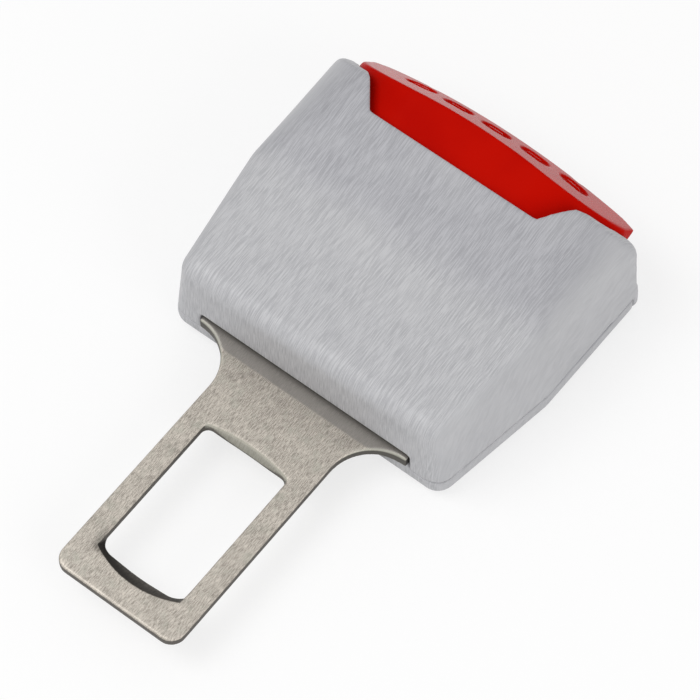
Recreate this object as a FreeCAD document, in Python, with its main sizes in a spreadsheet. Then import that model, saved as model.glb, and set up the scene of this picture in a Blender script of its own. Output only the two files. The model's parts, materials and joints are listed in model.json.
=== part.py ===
import FreeCAD, Part
import Sketcher
import math
import os
from FreeCAD import Placement, Rotation, Vector

# Seat belt extender, in millimetres.
# It is drawn about the slot that the tongue leaves: x across, y towards the mouth,
# z up from the tongue's upper face. Each finished piece is then moved as one, so that
# the extender lies on its back cover with the origin under its middle.

doc = FreeCAD.newDocument("SeatBeltExtender")
sheet = doc.addObject("Spreadsheet::Sheet", "Sizes")

drivingSizes = (
    ("tongueReach", 43.2, "slot to tongue tip"),
    ("tongueHalf", 11.0, "half the blade's width"),
    ("plateThick", 2.0, "tongue plate"),
    ("plateEdge", 0.45, "rounding of the blade's upper edges"),
    ("tipCorner", 2.4, "tip corner radius"),
    ("windowHalf", 7.4, "half the latch window's width"),
    ("windowNear", 13.1, "slot to window"),
    ("windowFar", 37.3, "slot to the window's far end"),
    ("windowTipCorner", 2.3, "window corner radius, tip side"),
    ("windowCorner", 1.2, "window corner radius, body side"),
    ("scoopTip", 1.9, "dish at the tip side"),
    ("scoopBody", 1.0, "dish at the body side"),
    ("flareHalf", 18.7, "half the plate's width at the slot"),
    ("flareRadius", 7.4, "hollow sweep between blade and slot"),
    ("flareFront", 0.5, "flare's edge ahead of the slot"),
    ("flareBack", 3.4, "flare's edge inside the casing"),
    ("stemReach", 24.0, "plate's end inside the casing"),
    ("stemHalf", 14.0, "half the plate's width inside"),
    ("wall", 2.0, "casing wall"),
    ("seam", 0.12, "gap along the casing's parting line"),
    ("backDepth", 7.2, "tongue's upper face to the casing's back"),
    ("backTrim", 0.02, "taken off the casing's back to leave it level"),
    ("backRound", 3.0, "rounding along the casing's back"),
    ("leastRound", 0.8, "least rounding inside the casing"),
    ("endRound", 3.0, "rounding of the casing's tongue end"),
    ("startTop", 10.6, "casing's height at the tongue end"),
    ("startBackHalf", 24.8, "half the back's width at the tongue end"),
    ("startSideHalf", 23.3, "half the width under the front edge, tongue end"),
    ("startFlatHalf", 20.3, "half the flat front's width, tongue end"),
    ("creaseReach", 21.4, "slot to crease"),
    ("creaseTop", 13.0, "casing's height at the crease"),
    ("creaseBackHalf", 28.3, "half the back's width at the crease"),
    ("creaseSideHalf", 26.1, "half the width under the front edge, crease"),
    ("creaseFlatHalf", 22.8, "half the flat front's width, crease"),
    ("edgeDrop", 3.2, "depth of the rounded front edge"),
    ("frontRise", 14.7, "degrees, front face beyond the crease"),
    ("mouthBackHalf", 28.5, "half the back's width at the mouth end"),
    ("mouthSideHalf", 27.4, "half the width under the front edge, mouth end"),
    ("mouthSideTop", 8.2, "height of that point"),
    ("mouthFlatHalf", 9.0, "half the flat front's width, mouth end"),
    ("formReach", 49.0, "where the mouth section stands"),
    ("endReach", 47.0, "slot to the mouth end's middle"),
    ("endCrown", 118.0, "radius of the crowned mouth end"),
    ("cavityReach", 42.6, "inside of the mouth end wall"),
    ("partHeight", -3.0, "parting line"),
    ("coverReach", 42.3, "back cover's end"),
    ("slotTop", 0.7, "slot's upper edge"),
    ("slotFit", 0.05, "plate over the cover's lip"),
    ("slotSide", 0.3, "slot beside the plate"),
    ("notchReach", 34.8, "slot to notch bottom"),
    ("notchHalf", 14.9, "half the notch bottom"),
    ("notchShoulder", 40.7, "slot to notch shoulder"),
    ("shoulderHalf", 19.4, "half the notch's width there"),
    ("mouthHalf", 13.2, "half the mouth's width"),
    ("mouthFloor", 1.9, "mouth's lower face"),
    ("pressTilt", 37.0, "degrees, press face from upright"),
    ("pressReach", 48.6, "press face at pressHeight"),
    ("pressHeight", 8.0, "height of that point"),
    ("pressTravel", 4.0, "button travel along the front face"),
    ("buttonReach", 48.2, "slot to the button's upright lower edge"),
    ("buttonProud", 0.5, "press face over the casing's end"),
    ("buttonRecess", 1.3, "button under the casing's front face"),
    ("buttonWall", 1.8, "button wall"),
    ("buttonGap", 0.25, "button to casing"),
    ("pressWall", 2.2, "button wall behind its press face"),
    ("buttonClear", 1.0, "room behind the pressed button"),
    ("mouthSide", 0.4, "button beside the mouth"),
    ("buttonBack", 31.0, "button's rear edge"),
    ("archHalf", 23.9, "half the button's width"),
    ("archSide", 9.2, "height of its widest point"),
    ("archFlatHalf", 10.5, "half the button's flat front"),
    ("buttonFloor", 5.4, "button's lower edge at its sides"),
    ("scoopFloor", 7.5, "button's lower edge over the mouth"),
    ("markPitch", 6.9, "grip marks, side to side"),
    ("markHalf", 2.5, "half a grip mark's length"),
    ("markHeight", 1.8, "half a grip mark's height"),
    ("markRise", 5.0, "middle mark's place up the press face"),
    ("markSink", 0.5, "depth of a grip mark"),
    ("markRim", 1.1, "recess beyond the mark's raised line"),
    ("markLine", 0.35, "half that line's width"),
    ("legInner", 17.4, "button leg's inner face"),
    ("legThick", 2.8, "button leg"),
    ("legBack", 26.0, "button leg's rear end"),
    ("legFloor", 5.0, "button leg's lower face"),
    ("legTop", 9.2, "button leg's upper face"),
    ("legShort", 1.5, "leg's front end inside the button"),
    ("rampInner", 15.3, "ramp's inner face"),
    ("rampGap", 0.5, "ramp to the latch ear"),
    ("rampNose", 2.5, "level part in front of the ramp"),
    ("frameThick", 2.0, "frame sheet"),
    ("frameStart", 3.2, "frame's rear end"),
    ("frameReach", 42.2, "frame's front end"),
    ("channelHalf", 12.7, "half the frame's inner width"),
    ("cheekTop", 9.2, "frame's pivot cheeks"),
    ("cheekStart", 8.2, "cheeks' rear end"),
    ("cheekReach", 17.0, "cheeks' front end"),
    ("railTop", 4.8, "frame's side rails"),
    ("tabHalf", 4.0, "half the rear tab's width"),
    ("tabThick", 1.2, "rear tab"),
    ("tabTop", 6.0, "rear tab's upper edge"),
    ("pivotReach", 11.0, "latch pivot from the slot"),
    ("pivotHeight", 7.2, "latch pivot's height"),
    ("pivotRadius", 1.4, "pivot pin"),
    ("pivotFit", 0.05, "running clearance round the pin"),
    ("pinHead", 2.3, "pin head radius"),
    ("pinHeadThick", 0.9, "pin head"),
    ("clipRadius", 2.6, "retaining clip"),
    ("clipThick", 0.6, "retaining clip"),
    ("clipGroove", 0.35, "groove under the clip"),
    ("clipGap", 0.1, "clip's play in its groove"),
    ("rivetRadius", 1.6, "rivet shank"),
    ("rivetHead", 2.7, "rivet head radius"),
    ("rivetDome", 0.9, "rivet head height"),
    ("rivetFlush", 2.3, "radius of the rivet's flush end"),
    ("rivetSink", 0.8, "depth of the flush end"),
    ("rivetFit", 0.03, "rivet in its hole"),
    ("rivetSideX", 9.0, "outer rivets from the middle"),
    ("rivetSideY", 9.0, "outer rivets from the slot"),
    ("rivetEndY", 20.5, "middle rivet from the slot"),
    ("leverHeight", 5.6, "latch lever's lower face"),
    ("leverThick", 1.8, "latch lever"),
    ("leverHalf", 12.2, "half the latch lever's width"),
    ("leverNose", 9.0, "half its front's width"),
    ("leverReach", 33.0, "latch lever's front end"),
    ("lugRadius", 2.3, "round of the pivot lugs"),
    ("lugInner", 9.6, "lug's inner face"),
    ("lugReach", 15.0, "front of the opening between the lugs"),
    ("lugOverlap", 1.5, "lever sheet running under the lugs"),
    ("earHalf", 17.0, "half the width over the lift ears"),
    ("earBack", 24.5, "lift ear's rear edge"),
    ("earFront", 26.5, "lift ear's front edge"),
    ("toothHalf", 5.0, "half the latch tooth's width"),
    ("toothBack", 27.5, "latch tooth's holding face"),
    ("toothFront", 31.5, "latch tooth's front"),
    ("toothTip", 1.0, "latch tooth's lower end"),
    ("toothLand", 1.8, "flat under the tooth"),
    ("toothBevel", 2.6, "height of the lead-in bevel"),
    ("toothGap", 0.6, "frame window round the tooth"),
    ("liftAngle", 11.5, "degrees, latch lift at full press"),
    ("ejectorFloor", 2.3, "ejector's lower face"),
    ("ejectorThick", 2.2, "ejector plate"),
    ("ejectorHalf", 12.3, "half the ejector's width"),
    ("ejectorBack", 18.5, "ejector's rear face"),
    ("ejectorBar", 4.0, "ejector's cross bar"),
    ("ejectorFront", 31.0, "ejector's prong tips"),
    ("prongOuter", 10.8, "prong's outer face"),
    ("prongInner", 5.8, "prong's inner face"),
    ("hubHalf", 3.0, "half the ejector hub's width"),
    ("hubTop", 5.3, "ejector hub's upper face"),
    ("rodHeight", 3.8, "guide rod's height"),
    ("rodRadius", 0.8, "guide rod"),
    ("rodFit", 0.15, "guide rod in the hub"),
    ("rodReach", 19.6, "guide rod's free end"),
    ("springWire", 0.5, "ejector spring wire"),
    ("springRadius", 1.35, "ejector spring to the wire's middle"),
    ("springTurns", 8.0, "ejector spring turns"),
    ("springSeat", 0.15, "gap at each end of a spring"),
    ("returnWire", 0.45, "button spring wire"),
    ("returnRadius", 1.5, "button spring to the wire's middle"),
    ("returnTurns", 7.0, "button spring turns"),
    ("returnLength", 13.0, "button spring's length at rest"),
    ("returnLean", 0.5, "leg's square end against the leaning spring"),
    ("torsionWire", 0.55, "latch spring wire"),
    ("torsionRadius", 1.85, "latch spring to the wire's middle"),
    ("torsionTurns", 4.0, "latch spring turns"),
    ("torsionStart", 3.7, "latch spring's inner end"),
    ("torsionPitch", 0.9, "latch spring pitch"),
    ("torsionRest", 19.0, "latch spring's upper leg end"),
    ("torsionFoot", 2.8, "latch spring's lower leg end"),
    ("bossRadius", 2.4, "screw boss"),
    ("bossBackX", 19.2, "tongue-end screws from the middle"),
    ("bossBackY", 8.6, "tongue-end screws from the slot"),
    ("bossFrontX", 22.3, "mouth-end screws from the middle"),
    ("bossFrontY", 37.6, "mouth-end screws from the slot"),
    ("bossFrontTop", 3.0, "mouth-end bosses' height"),
    ("screwRadius", 1.0, "screw shank"),
    ("screwLength", 7.4, "screw under its head"),
    ("screwHead", 2.0, "screw head radius"),
    ("screwHeadThick", 1.1, "screw head"),
    ("crossLength", 2.4, "screw's cross recess"),
    ("crossWidth", 0.6, "screw's cross recess"),
    ("screwSink", 1.3, "screw head's recess in the cover"),
    ("screwFit", 0.1, "clearance round screw and head"),
    ("ribThick", 2.0, "supports inside the cover"),
    ("plateRibX", 3.6, "ribs under the tongue plate"),
    ("frameRibX", 8.0, "ribs under the frame"),
    ("ribGap", 1.5, "ribs short of what bounds them"),
)

for row, (alias, value, note) in enumerate(drivingSizes, start=1):
    sheet.set(f"A{row}", note)
    sheet.set(f"B{row}", str(value))
    sheet.setAlias(f"B{row}", alias)
doc.recompute()


def size(alias):
    return float(sheet.get(alias))


# Places that follow from the driving sizes
middleY = "((Sizes.tongueReach - Sizes.buttonReach) / 2)"
subParts = []


def finish(piece, label):
    piece.Label = label
    piece.setExpression(".Placement.Base.y", middleY)
    piece.setExpression(".Placement.Base.z", "Sizes.backDepth")
    subParts.append(piece)
    return piece


def solidPiece(name, shape):
    piece = doc.addObject("Part::Feature", name)
    piece.Shape = shape
    return piece


# Casing form: three outlines across the body, joined by ruled faces

def tangentArc(flat, side):
    # leaves the point flat level and ends in the point side
    across, drop = side.x - flat.x, side.z - flat.z
    radius = (across ** 2 + drop ** 2) / (2 * abs(drop))
    halfTurn = math.atan2(abs(across), radius - abs(drop)) / 2
    middle = Vector(flat.x + math.copysign(radius * math.sin(halfTurn), across), flat.y,
                    flat.z + math.copysign(radius * (1 - math.cos(halfTurn)), drop))
    return Part.Arc(flat, middle, side).toShape()


def mirrored(point):
    return Vector(-point.x, point.y, point.z)


def frontHeight(y):
    beyond = y - size("creaseReach")
    return size("creaseTop") + beyond * math.tan(math.radians(size("frontRise")))


def casingOutline(y, top, flatHalf, sideHalf, sideTop, backHalf, inset):
    back = -size("backDepth") - size("backTrim")
    spread = (backHalf - sideHalf) / (sideTop - back)
    low = back + inset
    rounding = max(size("backRound") - inset, size("leastRound"))

    def sideAt(z):
        return Vector(sideHalf + spread * (sideTop - z) - inset, y, z)

    floor = Vector(sideAt(low).x - rounding, y, low)
    sideLow, sideHigh = sideAt(low + rounding), sideAt(sideTop - inset / 2)
    flat = Vector(min(flatHalf, sideHigh.x - 1), y, top - inset)
    rightHalf = [tangentArc(floor, sideLow), Part.LineSegment(sideLow, sideHigh).toShape(),
                 tangentArc(flat, sideHigh)]
    leftHalf = [tangentArc(mirrored(flat), mirrored(sideHigh)),
                Part.LineSegment(mirrored(sideHigh), mirrored(sideLow)).toShape(),
                tangentArc(mirrored(floor), mirrored(sideLow))]
    level = [Part.LineSegment(mirrored(floor), floor).toShape(),
             Part.LineSegment(flat, mirrored(flat)).toShape()]
    return Part.Wire(Part.__sortEdges__([level[0]] + rightHalf + [level[1]] + leftHalf))


def casingForm(inset):
    outlines = []
    for name, y, top in (("start", 0, size("startTop")),
                         ("crease", size("creaseReach"), size("creaseTop")),
                         ("mouth", size("formReach"), frontHeight(size("formReach")))):
        sideTop = size("mouthSideTop") if name == "mouth" else top - size("edgeDrop")
        outlines.append(casingOutline(y, top, size(name + "FlatHalf"), size(name + "SideHalf"),
                                      sideTop, size(name + "BackHalf"), inset))
    return Part.makeLoft(outlines, True, True)


def block(xHalf, yStart, yEnd, zStart, zEnd):
    return Part.makeBox(2 * xHalf, yEnd - yStart, zEnd - zStart, Vector(-xHalf, yStart, zStart))


def bothSides(shape):
    return shape.fuse(shape.mirror(Vector(), Vector(1, 0, 0)))


# Everything at the mouth end is crowned on one radius: upright below, tilted at the press face

beyond = 100.0
pastEnd = 60.0
same = 0.01
tilt = math.radians(size("pressTilt"))
faceOut = Vector(0, math.cos(tilt), math.sin(tilt))
faceUp = Vector(0, -math.sin(tilt), math.cos(tilt))
faceMiddle = Vector(0, size("pressReach"), size("pressHeight"))


def behindPressFace(depth):
    crown = size("endCrown")
    base = faceMiddle - faceOut * (crown + depth) - faceUp * beyond
    return Part.makeCylinder(crown, 2 * beyond, base, faceUp)


def behindEndWall():
    crown = size("endCrown")
    return Part.makeCylinder(crown, 2 * beyond, Vector(0, size("endReach") - crown, -beyond))


rise = math.radians(size("frontRise"))
travelWay = Vector(0, math.cos(rise), math.sin(rise))


def buttonForm(grow, yStart, yEnd):
    # an arch with a flat top, drawn along the way that the button travels
    top = frontHeight(yStart) - size("buttonRecess") + grow
    sideTop = size("archSide") + frontHeight(yStart) - frontHeight(size("endReach"))
    flat = Vector(size("archFlatHalf"), yStart, top)
    side = Vector(size("archHalf") + grow, yStart, sideTop)
    floorZ = size("buttonFloor") + frontHeight(yStart) - frontHeight(size("buttonReach")) - grow
    foot = Vector(side.x, yStart, floorZ)
    edges = [tangentArc(flat, side), Part.LineSegment(side, foot).toShape(),
             Part.LineSegment(foot, mirrored(foot)).toShape(),
             Part.LineSegment(mirrored(foot), mirrored(side)).toShape(),
             tangentArc(mirrored(flat), mirrored(side)),
             Part.LineSegment(mirrored(flat), flat).toShape()]
    face = Part.Face(Part.Wire(Part.__sortEdges__(edges)))
    return face.extrude(travelWay * ((yEnd - yStart) / travelWay.y))


def underTravel(xHalf, floor, yStart, yEnd):
    # the space under a floor that keeps its distance as the button travels
    top = floor + frontHeight(yStart) - frontHeight(size("buttonReach"))
    corners = [Vector(-xHalf, yStart, top), Vector(xHalf, yStart, top),
               Vector(xHalf, yStart, -beyond), Vector(-xHalf, yStart, -beyond)]
    face = Part.Face(Part.makePolygon(corners + corners[:1]))
    return face.extrude(travelWay * ((yEnd - yStart) / travelWay.y))


def screwPlaces():
    for x, y in (("bossBackX", "bossBackY"), ("bossFrontX", "bossFrontY")):
        for side in (1, -1):
            yield Vector(side * size(x), size(y), 0)


def roundedEnd(form):
    # rounds the edges of the face that the tongue leaves
    edges = [edge for edge in form.Edges if edge.BoundBox.YMax < same]
    return form.makeFillet(size("endRound"), edges)


outerForm = roundedEnd(casingForm(0)).common(behindPressFace(size("buttonProud")))
outerForm = outerForm.common(behindEndWall())
outerForm = outerForm.common(block(beyond, -beyond, beyond, -size("backDepth"), beyond))
cavity = casingForm(size("wall")).common(
    block(beyond, size("wall"), size("cavityReach"), -beyond, beyond))
midWall = casingForm(size("wall") / 2)
slotHalf = size("flareHalf") + size("slotSide")
underLid = size("partHeight") - size("seam")


def notchCut():
    # the opening in the front face that shows the button
    slope = (size("shoulderHalf") - size("notchHalf")) / (size("notchShoulder") - size("notchReach"))
    farHalf = size("notchHalf") + slope * (beyond - size("notchReach"))
    floorZ = size("archSide")
    corners = [Vector(-size("notchHalf"), size("notchReach"), floorZ),
               Vector(size("notchHalf"), size("notchReach"), floorZ),
               Vector(farHalf, beyond, floorZ), Vector(-farHalf, beyond, floorZ)]
    face = Part.Face(Part.makePolygon(corners + corners[:1]))
    return face.extrude(Vector(0, 0, beyond))


def frontShell():
    shell = outerForm.cut(block(beyond, -beyond, size("coverReach") + size("seam"),
                                -beyond, size("partHeight")))
    shell = shell.cut(cavity)
    for place in screwPlaces():
        mouthEnd = place.y > size("creaseReach")
        top = size("bossFrontTop") if mouthEnd else frontHeight(0)
        height = top - size("partHeight")
        boss = Part.makeCylinder(size("bossRadius"), height, place + Vector(0, 0, size("partHeight")))
        webStart = place.x if place.x > 0 else place.x - beyond
        web = Part.makeBox(beyond, size("ribThick"), height,
                           Vector(webStart, place.y - size("ribThick") / 2, size("partHeight")))
        shell = shell.fuse(boss.fuse(web).common(midWall))
    for place in screwPlaces():
        depth = size("screwLength") - size("backDepth") + size("screwSink") + size("screwFit")
        shell = shell.cut(Part.makeCylinder(size("screwRadius"), depth + beyond,
                                            place - Vector(0, 0, beyond)))
    shell = shell.cut(buttonForm(size("buttonGap"),
                                size("buttonBack") - size("pressTravel") - size("buttonClear"), pastEnd))
    shell = shell.cut(notchCut())
    shell = shell.cut(block(size("mouthHalf"), size("creaseReach"), beyond,
                            size("mouthFloor"), size("archSide")))
    shell = shell.cut(block(slotHalf, -beyond, size("creaseReach") / 2, -beyond, size("slotTop")))
    return shell.removeSplitter()


def backCover():
    under = -size("plateThick") - size("slotFit")
    tray = outerForm.cut(cavity).common(block(beyond, -beyond, size("coverReach"), -beyond, underLid))
    lip = outerForm.common(block(slotHalf - size("seam"), -beyond, size("wall"), underLid - 1, under))
    root = -size("backDepth") + size("wall") / 2
    pieces = [tray, lip]
    gap = size("ribGap")
    ribs = ((size("plateRibX"), size("wall") + gap, size("rivetEndY") - size("rivetHead") - gap,
             -size("plateThick")),
            (size("frameRibX"), size("stemReach") + gap, size("frameReach") - gap, 0))
    for x, yStart, yEnd, top in ribs:
        rib = Part.makeBox(size("ribThick"), yEnd - yStart, top - root, Vector(x, yStart, root))
        pieces += [rib, rib.mirror(Vector(), Vector(1, 0, 0))]
    for place in screwPlaces():
        boss = Part.makeCylinder(size("bossRadius"), underLid - root, place + Vector(0, 0, root))
        pieces.append(boss.common(midWall))
    cover = pieces[0].multiFuse(pieces[1:])
    for place in screwPlaces():
        back = place - Vector(0, 0, size("backDepth"))
        cover = cover.cut(Part.makeCylinder(size("screwRadius") + size("screwFit"),
                                          size("backDepth"), back))
        cover = cover.cut(Part.makeCylinder(size("screwHead") + size("screwFit"),
                                            size("screwSink"), back))
    return cover.removeSplitter()


def gripMark(x):
    # a rounded recess in the press face with a raised line along its middle
    centre = faceMiddle + faceUp * (size("markRise") - x ** 2 / size("endCrown")) + Vector(x, 0, 0)
    across, deep = Vector(1, 0, 0), size("pressWall") + size("markSink")

    def capsule(reach, radius):
        straight = reach - radius
        ends = [centre + across * straight, centre - across * straight]
        corners = [ends[0] + faceUp * radius, ends[1] + faceUp * radius,
                   ends[1] - faceUp * radius, ends[0] - faceUp * radius]
        edges = [Part.LineSegment(corners[0], corners[1]).toShape(),
                 Part.Arc(corners[1], ends[1] - across * radius, corners[2]).toShape(),
                 Part.LineSegment(corners[2], corners[3]).toShape(),
                 Part.Arc(corners[3], ends[0] + across * radius, corners[0]).toShape()]
        face = Part.Face(Part.Wire(edges))
        face.translate(faceOut * -deep)
        return face.extrude(faceOut * (2 * deep))

    line = capsule(size("markHalf") - size("markRim"), size("markLine"))
    return capsule(size("markHalf"), size("markHeight")).cut(line).cut(behindPressFace(size("markSink")))


def latchTurned(y, z):
    # where a point of the latch lies at full lift
    lift = math.radians(size("liftAngle"))
    dy, dz = y - size("pivotReach"), z - size("pivotHeight")
    return Vector(0, size("pivotReach") + dy * math.cos(lift) - dz * math.sin(lift),
                  size("pivotHeight") + dy * math.sin(lift) + dz * math.cos(lift))


def liftRamp():
    # the slope that carries the latch's ears up as the button goes in
    x = size("rampInner")
    start = Vector(x, size("earFront"), size("leverHeight"))
    end = latchTurned(start.y, start.z) + travelWay * size("pressTravel")
    gap = Vector(0, size("rampGap"), 0)
    slope = (end.z - start.z) / (end.y - start.y)
    nose = Vector(x, start.y - (start.z - size("legFloor")) / slope, size("legFloor"))
    end.x = x
    rear = end.y + size("rampGap") + size("rampNose")
    corners = [nose + gap, end + gap, Vector(x, rear, end.z), Vector(x, rear, size("legFloor"))]
    face = Part.Face(Part.makePolygon(corners + corners[:1]))
    return face.extrude(Vector(size("legInner") - x, 0, 0))


def pressButton():
    outside = buttonForm(0, size("buttonBack"), pastEnd).common(behindPressFace(0))
    outside = outside.common(block(beyond, -beyond, size("buttonReach"), -beyond, beyond))
    inner = buttonForm(-size("buttonWall"), size("buttonBack") - size("buttonClear"), pastEnd)
    inner = inner.fuse(inner.translated(Vector(0, 0, -size("archSide") / 2)))
    hollow = inner.common(behindPressFace(size("pressWall")))
    cap = outside.cut(hollow)
    cap = cap.cut(block(beyond, 0, size("cavityReach"), -beyond, size("legFloor")))
    leg = Part.makeBox(size("legThick"), size("buttonReach") - size("legBack") - size("legShort"),
                       size("legTop") - size("legFloor"),
                       Vector(size("legInner"), size("legBack"), size("legFloor")))
    legs = bothSides(leg.common(behindPressFace(size("pressWall") / 2)).fuse(liftRamp()))
    cap = cap.fuse(legs)
    cap = cap.cut(underTravel(size("mouthHalf") + size("mouthSide"), size("scoopFloor"),
                              size("creaseReach"), pastEnd))
    marks = [gripMark(k * size("markPitch")) for k in (-2, -1, 0, 1, 2)]
    return cap.cut(marks).removeSplitter()


# Sheet-metal and moulded pieces, each a body of sketches bound to the sheet

def value(expression):
    return float(sheet.evalExpression(expression))


def sized(name):
    return "Sizes." + name


def originPlane(body, role):
    return next(part for part in body.Origin.OriginFeatures if part.Role == role)


def sketchOn(body, name, role, offset="0"):
    sketch = body.newObject("Sketcher::SketchObject", name)
    sketch.AttachmentSupport = [(originPlane(body, role), "")]
    sketch.MapMode = "FlatFace"
    sketch.setExpression(".AttachmentOffset.Base.z", offset)
    return sketch


def polygon(sketch, corners):
    # corners are pairs of expressions, and each one is bound to the sketch's origin
    first = sketch.GeometryCount
    points = [Vector(value(across), value(up), 0) for across, up in corners]
    count = len(points)
    for i in range(count):
        sketch.addGeometry(Part.LineSegment(points[i], points[(i + 1) % count]), False)
    for i in range(count):
        following = first + (i + 1) % count
        sketch.addConstraint(Sketcher.Constraint("Coincident", first + i, 2, following, 1))
    for i, (across, up) in enumerate(corners):
        for way, expression, place in (("DistanceX", across, points[i].x), ("DistanceY", up, points[i].y)):
            index = sketch.addConstraint(Sketcher.Constraint(way, -1, 1, first + i, 1, place))
            sketch.setExpression(f"Constraints[{index}]", expression)


def rectangle(sketch, left, right, low, high):
    polygon(sketch, [(left, low), (right, low), (right, high), (left, high)])


def circle(sketch, across, up, radius):
    number = sketch.addGeometry(Part.Circle(Vector(value(across), value(up), 0), Vector(0, 0, 1),
                                            value(radius)), False)
    for way, expression in (("DistanceX", across), ("DistanceY", up)):
        index = sketch.addConstraint(Sketcher.Constraint(way, -1, 1, number, 3, value(expression)))
        sketch.setExpression(f"Constraints[{index}]", expression)
    index = sketch.addConstraint(Sketcher.Constraint("Radius", number, value(radius)))
    sketch.setExpression(f"Constraints[{index}]", radius)


def pad(body, name, sketch, length, symmetric=False, back=False):
    feature = body.newObject("PartDesign::Pad", name)
    feature.Profile = sketch
    feature.SideType = "Symmetric" if symmetric else "One side"
    feature.Reversed = back
    feature.setExpression("Length", length)
    return feature


def pocket(body, name, sketch, length=None, symmetric=False, back=False):
    feature = body.newObject("PartDesign::Pocket", name)
    feature.Profile = sketch
    feature.SideType = "Symmetric" if symmetric else "One side"
    feature.Reversed = back
    if length:
        feature.setExpression("Length", length)
    else:
        feature.Type = "ThroughAll"
    return feature


def rounded(body, name, base, radius, wanted):
    # a fillet on the edges of base that the test wanted picks out
    doc.recompute()
    names = [f"Edge{n}" for n, edge in enumerate(base.Shape.Edges, start=1) if wanted(edge)]
    feature = body.newObject("PartDesign::Fillet", name)
    feature.Base = (base, names)
    feature.setExpression("Radius", radius)
    return feature


def mirroredCorners(right):
    # a closed outline from its right half, listed from the bottom to the top
    return right + [("-(" + across + ")", up) for across, up in reversed(right)]


def upright(edge, x, y):
    box = edge.BoundBox
    return (box.ZLength > same and box.XLength < same and box.YLength < same
            and abs(abs(box.XMin) - x) < same and abs(box.YMin - y) < same)


def dish(body, name, near, depth, way):
    # a leaning cut with a round back, from the window's lower edge up to the blade's face
    lean = f"atan2({depth}; Sizes.plateThick)"
    sketch = sketchOn(body, name + "Outline", "XY_Plane")
    sketch.AttachmentOffset = Placement(Vector(), Rotation(Vector(1, 0, 0), 1))
    sketch.setExpression(".AttachmentOffset.Rotation.Angle", f"{-way} * {lean}")
    sketch.setExpression(".AttachmentOffset.Base.y", f"{way} * {depth} - {near}")
    bend = f"({depth} * cos({lean}))"
    left, right, low = "-Sizes.windowHalf", sized("windowHalf"), f"{-way} * {bend}"
    polygon(sketch, [(left, low), (left, f"{low} + {-way} * {depth}"),
                     (right, f"{low} + {-way} * {depth}"), (right, low)])
    sketch.delGeometry(3)
    ends = Vector(value(left), value(low), 0), Vector(value(right), value(low), 0)
    arc = sketch.addGeometry(Part.Arc(ends[0], Vector(), ends[1]), False)
    sketch.addConstraint(Sketcher.Constraint("PointOnObject", -1, 1, arc))
    starts = (1, 2) if way < 0 else (2, 1)
    sketch.addConstraint(Sketcher.Constraint("Coincident", arc, starts[0], 0, 1))
    sketch.addConstraint(Sketcher.Constraint("Coincident", arc, starts[1], 2, 2))
    return pocket(body, name, sketch, symmetric=True)


def rivetHoles(body, name, radius, height="0"):
    holes = sketchOn(body, name, "XY_Plane", height)
    for x, y in (("-Sizes.rivetSideX", "Sizes.rivetSideY"), ("Sizes.rivetSideX", "Sizes.rivetSideY"),
                 ("0", "Sizes.rivetEndY")):
        circle(holes, x, y, radius)
    return holes


def tonguePlate():
    body = doc.addObject("PartDesign::Body", "TonguePlate")
    outline = sketchOn(body, "PlateOutline", "XY_Plane")
    polygon(outline, mirroredCorners([
        (sized("tongueHalf"), "-Sizes.tongueReach"), (sized("tongueHalf"), "-Sizes.flareFront"),
        (sized("flareHalf"), "-Sizes.flareFront"), (sized("flareHalf"), sized("flareBack")),
        (sized("stemHalf"), sized("flareBack")), (sized("stemHalf"), sized("stemReach"))]))
    plate = pad(body, "Plate", outline, sized("plateThick"), back=True)
    window = sketchOn(body, "WindowOutline", "XY_Plane")
    rectangle(window, "-Sizes.windowHalf", sized("windowHalf"), "-Sizes.windowFar", "-Sizes.windowNear")
    opening = pocket(body, "Window", window, symmetric=True)
    holes = rivetHoles(body, "RivetHoles", "Sizes.rivetRadius + Sizes.rivetFit")
    drilled = pocket(body, "Drilling", holes, symmetric=True)
    tip = rounded(body, "TipCorners", drilled, sized("tipCorner"),
                  lambda edge: upright(edge, size("tongueHalf"), -size("tongueReach")))
    flares = rounded(body, "Flares", tip, sized("flareRadius"),
                     lambda edge: upright(edge, size("tongueHalf"), -size("flareFront")))
    tipSide = rounded(body, "WindowTipCorners", flares, sized("windowTipCorner"),
                      lambda edge: upright(edge, size("windowHalf"), -size("windowFar")))
    corners = rounded(body, "WindowCorners", tipSide, sized("windowCorner"),
                      lambda edge: upright(edge, size("windowHalf"), -size("windowNear")))
    last = rounded(body, "UpperEdges", corners, sized("plateEdge"),
                   lambda edge: edge.BoundBox.ZMin > -same
                   and edge.BoundBox.YMax < same - size("flareFront"))
    for name, near, depth, way in (("TipDish", "windowFar", "scoopTip", -1),
                                   ("BodyDish", "windowNear", "scoopBody", 1)):
        last = dish(body, name, sized(near), sized(depth), way)
    body.Tip = last
    return body


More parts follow.
